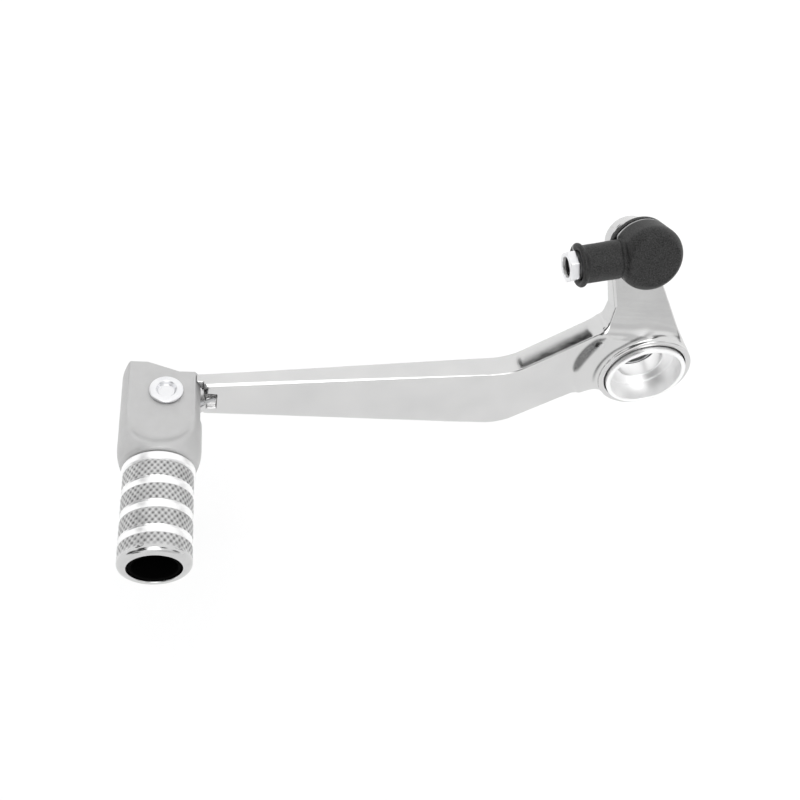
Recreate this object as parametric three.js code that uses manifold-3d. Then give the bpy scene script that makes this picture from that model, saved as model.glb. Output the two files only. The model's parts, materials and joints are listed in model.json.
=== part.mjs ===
// Motorcycle gear shift lever: forged arm with pivot hub, folding sprung toe peg and ball-jointed crank.
// Millimetres. +X runs back from the toe peg to the pivot, -Y points away from the motorcycle, +Z is up.
// The origin is on the pivot axis, in the plane of the arm's outer face.

import * as THREE from 'three';
import { mergeVertices } from 'three/addons/utils/BufferGeometryUtils.js';
import Module from 'manifold-3d';

const wasm = await Module();
wasm.setup();

// ---------------------------------------------------------------- driving dimensions

const GAP = 0.3;                 // clearance kept between neighbouring pieces

// toe peg: a round block with milled flats, hinged on a vertical hollow pin
const PIN = { x: -150, y: -1.9, z: -24 };
const BLOCK_AXIS_X = -151.3;
const BLOCK_RADIUS = 12;
const FLAT_HALF = 6.9;           // half height between the two milled flats
const BLOCK_BACK = 9.7;
const BLOCK_END = -25.9;
const FLAT_END_RADIUS = 10;      // radius of the cutter that ends the flats
const SLOT_HALF = 3.4;
const TONGUE_RADIUS = 6.9;
const FOLD_STOP = 45;            // degrees from the arm to the slot's end

// knurled sleeve
const SLEEVE_RADIUS = 10;
const COLLAR_RADIUS = 10.4;
const COLLAR_LENGTH = 2.9;
const BAND_COUNT = 4;
const BAND_LENGTH = 5.15;
const GROOVE_LENGTH = 2.6;
const GROOVE_DEPTH = 0.5;
const SLEEVE_BORE = 7.4;
const SPIGOT_RADIUS = 6.7;
const SLEEVE_TIP = -58;

// arm, seen from its outer side
const ARM_TOE_X = PIN.x + 10.9;
const ARM_BEND_X = -44;
const ARM_TOE_THICK = 5.9;
const ARM_BEND_THICK = 7.9;
const EDGE = 1.2;                // bevel on the arm's long edges

// hub
const HUB_RADIUS = 15.4;
const HUB_FRONT = -2.9;
const HUB_BACK = 9.5;
const LIP_RADIUS = 13.5;
const SEAL_GROOVE_RADIUS = 14.6;
const LINER_SEAT = 13.7;

// pivot bush and the pieces on it
const BUSH_FRONT = -4.4;
const BUSH_RIM_RADIUS = 12.9;
const BUSH_RADIUS = 12;
const BUSH_BORE = 11.5;
const BUSH_FLOOR = 2.4;
const BOLT_HOLE = 7.3;
const BUSH_WEB_BACK = 7.8;       // the back of the bush is recessed to here, for the wave washer
const BACK_RECESS = 10.2;
const SEAL_WIRE = 0.6;

// crank: a tapered plate that leans inwards, with the ball stud square to it
const LEAN = THREE.MathUtils.degToRad(22);
const CRANK_FOOT_Z = 15;
const EYE = { x: -18.4, v: 29.2 };   // in the crank's own plane, v measured up from its foot
const EYE_RADIUS = 7;
const EYE_THICK = 4.2;
const CRANK_THICK = 7.6;

// ball joint
const BALL_RADIUS = 5;
const BALL_REACH = 10.2;         // ball centre above the eye's face
const STUD_RADIUS = 3;
const NECK_RADIUS = 2.7;
const WASHER_THICK = 1;
const SHANK_RADIUS = 3.95;
const SHANK_HEX = 8;              // across the flats of the shank's end
const BEAD_END = 20.8;           // where the boot's end bead stops along the shank
const SHANK_LENGTH = 24;
const SHANK_SWING = THREE.MathUtils.degToRad(13);
const HEAD_RADIUS = 7.5;
const THREAD_HOLE = 2.5;
const BOOT_RADIUS = 9.4;
const BOOT_MOUTH = 7.2;          // opening round the stud, wide enough for the joint's tilt

// ---------------------------------------------------------------- materials

const material = (color, roughness, metalness) =>
  new THREE.MeshStandardMaterial({ color, roughness, metalness });

const polished = material(0xd2d2d0, 0.22, 1);
const blasted = material(0xc2c1bd, 0.55, 0.9);
const machined = material(0xe4e4e2, 0.3, 1);
const steel = material(0xb9bcc0, 0.3, 1);
const springSteel = material(0x8f9296, 0.35, 1);
const zinc = material(0xd5d8dc, 0.28, 1);
const rubber = material(0x3b3c3e, 0.75, 0);
const blackPlastic = material(0x151515, 0.6, 0);
const bronze = material(0xa98452, 0.4, 0.9);

// ---------------------------------------------------------------- solid helpers

function toManifold(geometry) {
  const bare = geometry.index ? geometry.toNonIndexed() : geometry.clone();
  bare.deleteAttribute('normal');
  bare.deleteAttribute('uv');
  const merged = mergeVertices(bare, 1e-4);
  return new wasm.Manifold(new wasm.Mesh({
    numProp: 3,
    vertProperties: Float32Array.from(merged.attributes.position.array),
    triVerts: Uint32Array.from(merged.index.array),
  }));
}

function toGeometry(solid) {
  const { vertProperties, triVerts } = solid.getMesh();
  const geometry = new THREE.BufferGeometry();
  geometry.setAttribute('position', new THREE.BufferAttribute(new Float32Array(vertProperties), 3));
  geometry.setIndex(new THREE.BufferAttribute(new Uint32Array(triVerts), 1));
  geometry.computeVertexNormals();
  return geometry;
}

const joinAll = (solids) => solids.reduce((whole, solid) => whole.add(solid));
const cutAll = (solid, cutters) => cutters.reduce((rest, cutter) => rest.subtract(cutter), solid);

// A box given by its two opposite corners.
function box(low, high) {
  const geometry = new THREE.BoxGeometry(high[0] - low[0], high[1] - low[1], high[2] - low[2]);
  geometry.translate((low[0] + high[0]) / 2, (low[1] + high[1]) / 2, (low[2] + high[2]) / 2);
  return geometry;
}

// A turned piece about the Y axis; each profile point is [radius, y], in either direction round the section.
function turnedY(profile, segments = 40) {
  const points = profile.map(([r, y]) => new THREE.Vector2(r, y));
  const faceOut = THREE.ShapeUtils.isClockWise(points) ? points.reverse() : points;
  return new THREE.LatheGeometry(faceOut, segments);
}

// A turned piece about the Z axis; each profile point is [radius, z].
function turnedZ(profile, segments = 32) {
  return turnedY(profile, segments).rotateX(Math.PI / 2);
}

// A closed ring section, so that the turned piece has a hole through it.
function ringProfile(inner, outer, low, high) {
  return [[inner, low], [outer, low], [outer, high], [inner, high], [inner, low]];
}

function rodProfile(radius, low, high) {
  return [[0, low], [radius, low], [radius, high], [0, high]];
}

function shapeFrom(points) {
  return new THREE.Shape(points.map(([a, b]) => new THREE.Vector2(a, b)));
}

// An outline in X and Z, extruded along +Y from y0 to y1, with bevelled long edges.
function slabY(shape, y0, y1, bevel = 0, curveSegments = 12) {
  const geometry = new THREE.ExtrudeGeometry(shape, {
    depth: y1 - y0 - 2 * bevel,
    bevelEnabled: bevel > 0,
    bevelSize: bevel,
    bevelOffset: -bevel,
    bevelThickness: bevel,
    bevelSegments: 2,
    curveSegments,
  });
  return geometry.rotateX(Math.PI / 2).translate(0, y1 - bevel, 0);
}

// An outline in X and Y, extruded along +Z from z0 to z1.
function slabZ(shape, z0, z1, curveSegments = 12) {
  const geometry = new THREE.ExtrudeGeometry(shape, { depth: z1 - z0, bevelEnabled: false, curveSegments });
  return geometry.translate(0, 0, z0);
}

function mesh(name, geometry, surface) {
  const part = new THREE.Mesh(geometry, surface);
  part.name = name;
  return part;
}

// ---------------------------------------------------------------- lever arm

// Side outline of the arm from the toe to the hub; its bevel is taken inwards.
function armOutline() {
  const start = ARM_TOE_X - 3;
  const shape = new THREE.Shape();
  shape.moveTo(start, -30.9);
  shape.lineTo(-46, -32);
  shape.quadraticCurveTo(-40.5, -32, -36.5, -28.9);
  shape.lineTo(-20.5, -15.8);
  shape.quadraticCurveTo(-17, -13, -13, -11);
  shape.lineTo(-4, -8);
  shape.lineTo(0, 10);
  shape.lineTo(-6, CRANK_FOOT_Z);
  shape.lineTo(-19.6, CRANK_FOOT_Z);
  shape.lineTo(-42, -2.4);
  shape.quadraticCurveTo(-46.5, -6.3, -52, -7);
  shape.lineTo(start, -17.1);
  return shape;
}

// The inner side of the arm slopes up to the bend, so the toe end is the thinner one.
function innerTaper() {
  const run = ARM_BEND_X - ARM_TOE_X;
  const slope = Math.atan2(ARM_BEND_THICK - ARM_TOE_THICK, run);
  const wedge = new THREE.BoxGeometry(2 * run, 20, 60);
  wedge.translate(0, 10, 0).rotateZ(slope);
  return wedge.translate(ARM_TOE_X, ARM_TOE_THICK, PIN.z);
}

// The arm's toe end is hollowed to follow the round side of the block.
function toeEndHollow() {
  return turnedY(rodProfile(BLOCK_RADIUS + GAP, -20, 20), 56).translate(BLOCK_AXIS_X, 0, PIN.z);
}

// Flat tongue that enters the block's slot, round about the pin, square where it stops the peg.
function tongueShape() {
  const shape = new THREE.Shape();
  shape.moveTo(14, 1.2);
  shape.lineTo(11.9, 0.9);
  shape.absarc(0, 0, TONGUE_RADIUS, THREE.MathUtils.degToRad(-50), Math.PI, true);
  shape.lineTo(-TONGUE_RADIUS, 7);
  shape.lineTo(14, 7);
  return shape;
}

function tongue() {
  return slabZ(tongueShape(), -SLOT_HALF + GAP, -0.2).translate(PIN.x, PIN.y, PIN.z);
}

// The crank's own frame: X along the lever, Y up the crank, Z out of its outer face.
const crankFrame = new THREE.Matrix4().makeBasis(
  new THREE.Vector3(1, 0, 0),
  new THREE.Vector3(0, Math.sin(LEAN), Math.cos(LEAN)),
  new THREE.Vector3(0, -Math.cos(LEAN), Math.sin(LEAN)),
).setPosition(0, 0, CRANK_FOOT_Z);

function crankPlate() {
  const shape = new THREE.Shape();
  shape.moveTo(11.4, -4.5);
  shape.lineTo(8, 0);
  shape.lineTo(EYE.x + 6.8, EYE.v - 1.4);
  shape.absarc(EYE.x, EYE.v, EYE_RADIUS, -0.2, Math.PI + 0.9, false);
  shape.lineTo(-18.1, 8.5);
  shape.quadraticCurveTo(-17, 4, -19.6, -1);
  shape.lineTo(-9, -6.5);
  const plate = new THREE.ExtrudeGeometry(shape, {
    depth: CRANK_THICK - 1.6,
    bevelSize: 0.8,
    bevelOffset: -0.8,
    bevelThickness: 0.8,
    bevelSegments: 2,
    curveSegments: 10,
  });
  return plate.translate(0, 0, 0.8 - CRANK_THICK).applyMatrix4(crankFrame);
}

// The back of the crank is thinned up to the eye, which is flat; drawn from the side and swept along X.
function crankTaper() {
  const slope = (CRANK_THICK - EYE_THICK) / (EYE.v - EYE_RADIUS);
  const below = 10;
  const side = shapeFrom([
    [-below, -CRANK_THICK - slope * below], [EYE.v - EYE_RADIUS, -EYE_THICK],
    [EYE.v + 15, -EYE_THICK], [EYE.v + 15, -20], [-below, -20],
  ]);
  const sweep = new THREE.ExtrudeGeometry(side, { depth: 80, bevelEnabled: false });
  const turn = new THREE.Matrix4().makeBasis(
    new THREE.Vector3(0, 1, 0),
    new THREE.Vector3(0, 0, 1),
    new THREE.Vector3(1, 0, 0),
  );
  return sweep.translate(0, 0, -40).applyMatrix4(turn).applyMatrix4(crankFrame);
}

function hubBody() {
  const edge = 0.7;
  return turnedY([
    [0, HUB_FRONT], [HUB_RADIUS - edge, HUB_FRONT], [HUB_RADIUS, HUB_FRONT + edge],
    [HUB_RADIUS, HUB_BACK - edge], [HUB_RADIUS - edge, HUB_BACK], [0, HUB_BACK],
  ], 48);
}

// Low skirt that blends the hub's rim into the arm's outer face, on the arm's side only.
function hubSkirt() {
  const rise = HUB_FRONT + 0.9;
  const cone = turnedY([[0, rise], [HUB_RADIUS, rise], [HUB_RADIUS + 4.6, 0.6], [0, 0.6]], 48);
  const side = shapeFrom([[0, 0], [-4, -17.2], [-12, -16.2], [-19.5, -14], [-26, -8], [-22, 9], [-12, 15]]);
  return toManifold(cone).intersect(toManifold(slabY(side, HUB_FRONT, 1)));
}

function hubBore() {
  return turnedY([
    [0, HUB_FRONT - 1], [LIP_RADIUS, HUB_FRONT - 1], [LIP_RADIUS, -1.4],
    [SEAL_GROOVE_RADIUS, -1.4], [SEAL_GROOVE_RADIUS, 0.5], [LINER_SEAT, 0.5],
    [LINER_SEAT, HUB_BACK + 1], [0, HUB_BACK + 1],
  ], 48);
}

// Outer corner of the arm's toe end, rounded so that the folded block clears it.
function toeEndRounding() {
  const radius = 3.2;
  const shape = new THREE.Shape();
  shape.moveTo(ARM_TOE_X - 4, -1);
  shape.lineTo(ARM_TOE_X + radius, -1);
  shape.lineTo(ARM_TOE_X + radius, 0);
  shape.absarc(ARM_TOE_X + radius, radius, radius, -Math.PI / 2, Math.PI, true);
  shape.lineTo(ARM_TOE_X - 4, radius);
  return slabZ(shape, PIN.z - 12, PIN.z + 12, 6);
}

// Pocket for the spring's leg, level with the block's slot.
function springPocket() {
  const upper = box([ARM_TOE_X - 1, -1, PIN.z], [ARM_TOE_X + 4.2, 4.6, PIN.z + SLOT_HALF - 0.2]);
  const lower = box([ARM_TOE_X + 1, -1, PIN.z - SLOT_HALF + 0.2], [ARM_TOE_X + 4.2, 1.4, PIN.z + 0.1]);
  return toManifold(upper).add(toManifold(lower));
}

function leverArm() {
  const slab = toManifold(slabY(armOutline(), 0, ARM_BEND_THICK, EDGE));
  const arm = cutAll(slab, [innerTaper(), toeEndHollow(), toeEndRounding()].map(toManifold));
  const crank = toManifold(crankPlate()).subtract(toManifold(crankTaper()));
  const body = joinAll([arm, toManifold(hubBody()), hubSkirt(), crank, toManifold(tongue())]);
  const pinHole = turnedZ(rodProfile(3.5 + GAP, -6, 6), 24).translate(PIN.x, PIN.y, PIN.z);
  const eyeHole = turnedZ(rodProfile(STUD_RADIUS + GAP, -12, 4), 24).translate(EYE.x, EYE.v, 0);
  return toGeometry(cutAll(body, [
    toManifold(hubBore()), toManifold(pinHole), toManifold(eyeHole.applyMatrix4(crankFrame)), springPocket(),
  ]));
}

// ---------------------------------------------------------------- pivot

function pivotBush() {
  return turnedY([
    [BOLT_HOLE, BUSH_WEB_BACK], [BOLT_HOLE, BUSH_FLOOR], [BUSH_BORE, BUSH_FLOOR], [BUSH_BORE, BUSH_FRONT + 0.3],
    [BUSH_BORE + 0.3, BUSH_FRONT], [BUSH_RIM_RADIUS - 0.3, BUSH_FRONT], [BUSH_RIM_RADIUS, BUSH_FRONT + 0.3],
    [BUSH_RIM_RADIUS, 0.5], [BUSH_RADIUS, 0.9], [BUSH_RADIUS, HUB_BACK], [BACK_RECESS, HUB_BACK],
    [BACK_RECESS, BUSH_WEB_BACK], [BOLT_HOLE, BUSH_WEB_BACK],
  ], 56);
}

function bearingLiner() {
  return turnedY(ringProfile(BUSH_RADIUS + GAP, LINER_SEAT - GAP, 1.3, 7.6), 48);
}

// A round-section ring about the Y axis.
function roundRing(radius, wire, y, segments = 36) {
  const profile = [];
  for (let i = 0; i <= 6; i += 1) {
    const angle = (i / 6) * 2 * Math.PI;
    profile.push([radius + wire * Math.cos(angle), y + wire * Math.sin(angle)]);
  }
  return turnedY(profile, segments);
}

// A spring washer pressed into three waves.
function waveWasher() {
  const inner = BOLT_HOLE + 0.4;
  const outer = BACK_RECESS - 0.4;
  const flat = new THREE.CylinderGeometry(outer, outer, 0.5, 36, 1);
  const hole = new THREE.CylinderGeometry(inner, inner, 2, 36, 1);
  const ring = toGeometry(toManifold(flat).subtract(toManifold(hole)));
  const place = ring.attributes.position;
  for (let i = 0; i < place.count; i += 1) {
    const angle = Math.atan2(place.getZ(i), place.getX(i));
    place.setY(i, place.getY(i) + 0.3 * Math.cos(3 * angle));
  }
  return ring.translate(0, (BUSH_WEB_BACK + HUB_BACK) / 2 + 0.1, 0);
}

function thrustWasher() {
  return turnedY(ringProfile(BOLT_HOLE + 0.2, HUB_RADIUS - 0.7, HUB_BACK + GAP, HUB_BACK + 1.5), 48);
}

// ---------------------------------------------------------------- toe peg

// Slot in the block: open to the back and to the arm, with room for the arm's swing.
function slotShape() {
  const radius = TONGUE_RADIUS + GAP;
  const stop = THREE.MathUtils.degToRad(-50 - FOLD_STOP);
  const along = new THREE.Vector2(-Math.sin(stop), Math.cos(stop));
  const shape = new THREE.Shape();
  shape.moveTo(-radius, 14);
  shape.lineTo(-radius, 0);
  shape.absarc(0, 0, radius, Math.PI, 2 * Math.PI + stop, false);
  shape.lineTo(radius * Math.cos(stop) + 20 * along.x, radius * Math.sin(stop) + 20 * along.y);
  shape.lineTo(20, 14);
  return shape;
}

function toeBlock() {
  const body = turnedY([
    [0, BLOCK_END - 22], [SPIGOT_RADIUS, BLOCK_END - 22], [SPIGOT_RADIUS, BLOCK_END],
    [COLLAR_RADIUS + 0.1, BLOCK_END], [11.4, BLOCK_END + 1.2], [BLOCK_RADIUS, BLOCK_END + 3.6],
    [BLOCK_RADIUS, BLOCK_BACK - 1.2], [BLOCK_RADIUS - 1.1, BLOCK_BACK], [0, BLOCK_BACK],
  ], 48).translate(BLOCK_AXIS_X, 0, PIN.z);
  const cutters = [];
  for (const side of [1, -1]) {
    const bevel = FLAT_END_RADIUS + 8;
    const end = turnedZ([[0, FLAT_HALF], [FLAT_END_RADIUS, FLAT_HALF], [bevel, FLAT_HALF + 8], [0, FLAT_HALF + 8]]);
    const flat = box([-20, 0, FLAT_HALF], [20, 30, FLAT_HALF + 8]);
    for (const cutter of [end, flat]) {
      cutter.translate(0, BLOCK_END + 16, 0);
      if (side < 0) {
        cutter.rotateY(Math.PI);
      }
      cutters.push(toManifold(cutter.translate(BLOCK_AXIS_X, 0, PIN.z)));
    }
  }
  // the ears' back corner is cut off slanting on the arm's side
  const corner = shapeFrom([[-5.2, BLOCK_BACK + 1], [-5.2, BLOCK_BACK], [3.6, 6.4], [20, 6.4], [20, BLOCK_BACK + 1]]);
  cutters.push(toManifold(slabZ(corner, PIN.z - 14, PIN.z + 14).translate(PIN.x, 0, 0)));
  const slot = slabZ(slotShape(), PIN.z - SLOT_HALF, PIN.z + SLOT_HALF).translate(PIN.x, PIN.y, 0);
  cutters.push(toManifold(slot));
  const pinHole = turnedZ(rodProfile(3.5 + GAP, -14, 14), 24).translate(PIN.x, PIN.y, PIN.z);
  cutters.push(toManifold(pinHole));
  return toGeometry(cutAll(toManifold(body), cutters));
}

// Knurled sleeve: a collar, then bands of full diameter parted by turned grooves, then a rounded rim.
function toeSleeve() {
  const start = BLOCK_END - GAP;
  const outer = [[COLLAR_RADIUS - 0.3, start], [COLLAR_RADIUS, start - 0.3]];
  let y = BLOCK_END - COLLAR_LENGTH;
  outer.push([COLLAR_RADIUS, y + 0.3], [SLEEVE_RADIUS, y]);
  for (let band = 0; band < BAND_COUNT; band += 1) {
    y -= BAND_LENGTH;
    outer.push([SLEEVE_RADIUS, y]);
    if (band < BAND_COUNT - 1) {
      outer.push([SLEEVE_RADIUS - GROOVE_DEPTH, y - 0.5]);
      y -= GROOVE_LENGTH;
      outer.push([SLEEVE_RADIUS - GROOVE_DEPTH, y + 0.5], [SLEEVE_RADIUS, y]);
    }
  }
  const rim = [[SLEEVE_RADIUS - 0.5, SLEEVE_TIP + 0.3], [SLEEVE_RADIUS - 1.3, SLEEVE_TIP]];
  const bore = [[SLEEVE_BORE + 0.4, SLEEVE_TIP], [SLEEVE_BORE, SLEEVE_TIP + 0.4], [SLEEVE_BORE, start]];
  const profile = [...outer, ...rim, ...bore, outer[0]];
  return turnedY(profile, 40).translate(BLOCK_AXIS_X, 0, PIN.z);
}

// Black cup pushed into the open end of the sleeve.
function gripPlug() {
  const outer = SLEEVE_BORE - GAP;
  const inner = outer - 0.9;
  return turnedY([
    [0, SLEEVE_TIP + 8.6], [inner, SLEEVE_TIP + 8.6], [inner, SLEEVE_TIP + 0.5],
    [outer, SLEEVE_TIP + 0.5], [outer, SLEEVE_TIP + 9.8], [0, SLEEVE_TIP + 9.8],
  ], 40).translate(BLOCK_AXIS_X, 0, PIN.z);
}

// Half-hollow pin: its dimpled flange sits on the block, its hollow lower end is rolled over a washer.
function toePin() {
  const top = FLAT_HALF + GAP;
  const bottom = -FLAT_HALF - GAP - 1 - GAP;
  return turnedZ([
    [0, -2], [2.5, -2],
    [2.5, bottom - 0.9], [4.4, bottom - 0.9], [4.8, bottom - 0.4], [4.6, bottom], [3.5, bottom],
    [3.5, top], [5, top], [5, top + 0.5], [4.3, top + 1], [3.2, top + 1], [2.7, top - 0.3], [0, top - 0.3],
  ], 36).translate(PIN.x, PIN.y, PIN.z);
}

function pinWasher() {
  const top = -FLAT_HALF - GAP;
  return turnedZ(ringProfile(3.5 + GAP, 5.4, top - 1, top), 32).translate(PIN.x, PIN.y, PIN.z);
}

// Torsion spring about the pin; one leg reaches into the arm's pocket.
function toeSpring() {
  const wire = 0.6;
  const coil = 4.75;
  const turns = 1.9;
  const endAngle = THREE.MathUtils.degToRad(-63);
  const steps = 36;
  const route = [];
  for (let i = 0; i <= steps; i += 1) {
    const t = i / steps;
    const angle = endAngle - (1 - t) * turns * 2 * Math.PI;
    const height = 2.45 - 1.3 * t;
    route.push(new THREE.Vector3(coil * Math.cos(angle), coil * Math.sin(angle), height));
  }
  const last = route[route.length - 1];
  for (const reach of [0.35, 0.7, 1]) {
    route.push(new THREE.Vector3(
      THREE.MathUtils.lerp(last.x, 14.2, reach),
      THREE.MathUtils.lerp(last.y, 2.1, reach),
      last.z,
    ));
  }
  const section = new THREE.Shape();
  section.absarc(0, 0, wire, 0, 2 * Math.PI, false);
  const geometry = new THREE.ExtrudeGeometry(section, {
    extrudePath: new THREE.CatmullRomCurve3(route),
    steps: 60,
    curveSegments: 3,
    bevelEnabled: false,
  });
  return geometry.translate(PIN.x, PIN.y, PIN.z);
}

// ---------------------------------------------------------------- ball joint, drawn about the ball's centre

const ballFrame = crankFrame.clone().multiply(new THREE.Matrix4().makeTranslation(EYE.x, EYE.v, BALL_REACH));

function ballStud() {
  const tip = -BALL_REACH - EYE_THICK + 0.4;
  const seat = -BALL_REACH + GAP + WASHER_THICK + GAP;
  const profile = [[0, tip], [STUD_RADIUS - 0.4, tip], [STUD_RADIUS, tip + 0.4], [STUD_RADIUS, seat]];
  profile.push([5.6, seat], [5.6, seat + 2], [NECK_RADIUS, seat + 2.4]);
  const from = Math.asin(NECK_RADIUS / BALL_RADIUS);
  for (let i = 0; i <= 9; i += 1) {
    const angle = from + ((Math.PI - from) * i) / 9;
    profile.push([Math.max(0, BALL_RADIUS * Math.sin(angle)), -BALL_RADIUS * Math.cos(angle)]);
  }
  profile[profile.length - 1][0] = 0;
  return turnedZ(profile, 28).applyMatrix4(ballFrame);
}

// Lock washer between the stud's collar and the crank's eye.
function studWasher() {
  const low = -BALL_REACH + GAP;
  return turnedZ(ringProfile(STUD_RADIUS + GAP, 5.2, low, low + WASHER_THICK), 28).applyMatrix4(ballFrame);
}

// The socket's shank points forwards and a little down, in the plane of the crank.
const socketFrame = ballFrame.clone().multiply(new THREE.Matrix4().makeRotationZ(SHANK_SWING));

function rodAlongShank(radius, from, to, segments = 32) {
  return turnedY(rodProfile(radius, from, to), segments).rotateZ(Math.PI / 2);
}

function ballSocket() {
  const head = turnedZ([
    [0, -3.2], [HEAD_RADIUS - 0.8, -3.2], [HEAD_RADIUS, -2.4], [HEAD_RADIUS, 3.6], [HEAD_RADIUS - 1.2, 4.9], [0, 4.9],
  ], 36);
  const shank = rodAlongShank(SHANK_RADIUS, 0, SHANK_LENGTH - 1, 28);
  const hexRadius = SHANK_HEX / Math.sqrt(3);
  const hexLength = SHANK_LENGTH - BEAD_END - GAP;
  const hex = new THREE.CylinderGeometry(hexRadius, hexRadius, hexLength, 6).rotateZ(Math.PI / 2);
  hex.translate(hexLength / 2 - SHANK_LENGTH, 0, 0);
  const threadHole = rodAlongShank(THREAD_HOLE, SHANK_LENGTH - 12, SHANK_LENGTH + 1, 24);
  const ballSeat = new THREE.SphereGeometry(BALL_RADIUS + GAP, 24, 16);
  const mouth = turnedZ(rodProfile(BALL_RADIUS + 0.25, -8, 0), 28);
  const clipGroove = turnedZ(ringProfile(BALL_RADIUS - 1, 6.3, -2.6, -1.2), 28);
  const body = joinAll([head, shank, hex].map(toManifold));
  return toGeometry(cutAll(body, [threadHole, ballSeat, mouth, clipGroove].map(toManifold)))
    .applyMatrix4(socketFrame);
}

// Split spring-steel ring that keeps the ball in its seat.
function socketClip() {
  const ring = turnedZ(ringProfile(BALL_RADIUS + GAP, 6, -2.3, -1.5), 32);
  const split = box([4, -0.8, -3], [8, 0.8, 0]);
  return toGeometry(toManifold(ring).subtract(toManifold(split))).applyMatrix4(socketFrame);
}

// Rubber boot: a domed cap over the head with a sleeve along the shank and a lip at the stud.
function socketBoot() {
  const cap = turnedZ([
    [0, -6], [BOOT_RADIUS - 0.8, -6], [BOOT_RADIUS, -5.2], [BOOT_RADIUS, 2.2], [BOOT_RADIUS - 0.5, 4.2],
    [BOOT_RADIUS - 1.3, 5.6], [BOOT_RADIUS - 2.3, 6.3], [0, 6.4],
  ], 40);
  const neck = rodAlongShank(5.4, 0, BEAD_END - 1.2, 32);
  const bead = rodAlongShank(6.2, BEAD_END - 1.6, BEAD_END, 32);
  const outside = joinAll([cap, neck, bead].map(toManifold));
  const headRoom = turnedZ(rodProfile(HEAD_RADIUS + GAP, -3.5, 5.2), 36);
  const studRoom = turnedZ(rodProfile(BOOT_MOUTH, -10, 0), 28);
  const shankRoom = rodAlongShank(SHANK_RADIUS + 0.35, 0, SHANK_LENGTH, 28);
  return toGeometry(cutAll(outside, [headRoom, studRoom, shankRoom].map(toManifold))).applyMatrix4(socketFrame);
}

// ---------------------------------------------------------------- assembly

const lever = new THREE.Group();
lever.add(
  mesh('lever_arm', leverArm(), polished),
  mesh('pivot_bush', pivotBush(), machined),
  mesh('bearing_liner', bearingLiner(), bronze),
  mesh('outer_seal', roundRing(BUSH_RIM_RADIUS + GAP + SEAL_WIRE, SEAL_WIRE, -0.6), rubber),
  mesh('inner_seal', roundRing(BUSH_RADIUS + 0.2 + SEAL_WIRE, SEAL_WIRE - 0.05, HUB_BACK - 0.9), rubber),
  mesh('wave_washer', waveWasher(), springSteel),
  mesh('thrust_washer', thrustWasher(), steel),
  mesh('toe_block', toeBlock(), blasted),
  mesh('toe_sleeve', toeSleeve(), machined),
  mesh('grip_plug', gripPlug(), blackPlastic),
  mesh('toe_pin', toePin(), zinc),
  mesh('pin_washer', pinWasher(), zinc),
  mesh('toe_spring', toeSpring(), springSteel),
  mesh('ball_stud', ballStud(), zinc),
  mesh('stud_washer', studWasher(), springSteel),
  mesh('ball_socket', ballSocket(), zinc),
  mesh('socket_clip', socketClip(), springSteel),
  mesh('socket_boot', socketBoot(), rubber),
);

export default lever;
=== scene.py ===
"""Motorcycle gear shift lever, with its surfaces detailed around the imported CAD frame.

Sizes are in millimetres in the frame's own axes until a mesh is made: +X runs back from the toe peg to the pivot,
-Y points away from the motorcycle and +Z is up, with the origin on the pivot axis in the arm's outer face.
Forged and moulded pieces are modelled as signed distance fields, negative inside, and meshed on a fine grid.
Turned pieces are profiles of (radius, place along the axis, corner radius).
The last number given to smooth_min, smooth_max or rounded is the size of the fillet or of the broken edge there.
"""

import json
import math

import bpy
import numpy as np
from mathutils import Matrix, Vector


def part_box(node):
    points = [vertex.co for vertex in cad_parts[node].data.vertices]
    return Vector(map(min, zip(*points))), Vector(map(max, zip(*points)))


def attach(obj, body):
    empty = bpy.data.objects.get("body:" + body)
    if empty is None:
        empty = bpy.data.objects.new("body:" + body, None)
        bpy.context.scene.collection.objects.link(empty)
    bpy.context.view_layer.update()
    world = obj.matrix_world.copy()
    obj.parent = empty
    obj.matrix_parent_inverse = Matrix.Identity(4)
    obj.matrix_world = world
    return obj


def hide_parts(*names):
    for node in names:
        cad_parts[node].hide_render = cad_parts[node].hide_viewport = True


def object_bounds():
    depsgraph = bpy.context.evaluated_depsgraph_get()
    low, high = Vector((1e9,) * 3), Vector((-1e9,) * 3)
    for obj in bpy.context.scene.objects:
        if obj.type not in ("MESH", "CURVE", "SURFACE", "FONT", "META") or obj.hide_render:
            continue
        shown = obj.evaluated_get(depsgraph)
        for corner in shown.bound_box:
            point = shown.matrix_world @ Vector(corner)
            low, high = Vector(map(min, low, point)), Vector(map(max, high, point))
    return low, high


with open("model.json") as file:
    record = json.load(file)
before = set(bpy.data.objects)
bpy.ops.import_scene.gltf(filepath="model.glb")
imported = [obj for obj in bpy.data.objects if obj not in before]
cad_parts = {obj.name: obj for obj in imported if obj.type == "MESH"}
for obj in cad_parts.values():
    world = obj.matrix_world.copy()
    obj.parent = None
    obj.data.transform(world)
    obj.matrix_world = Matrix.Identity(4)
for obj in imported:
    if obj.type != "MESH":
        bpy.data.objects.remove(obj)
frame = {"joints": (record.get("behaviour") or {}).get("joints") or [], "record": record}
CAD_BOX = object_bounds()

MM = 0.001
BLOCK = 8  # cells along a side of the blocks in which fields are first sampled
JOINTS = {joint["name"]: joint for joint in frame["joints"]}


# ---- places and sizes from the frame


def joint_place(name):
    return np.array(JOINTS[name]["pos_m"]) / MM


def node_box(name):
    low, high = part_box(name)
    return np.array(low) / MM, np.array(high) / MM


GAP = 0.3  # clearance between pieces that fit together

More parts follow.
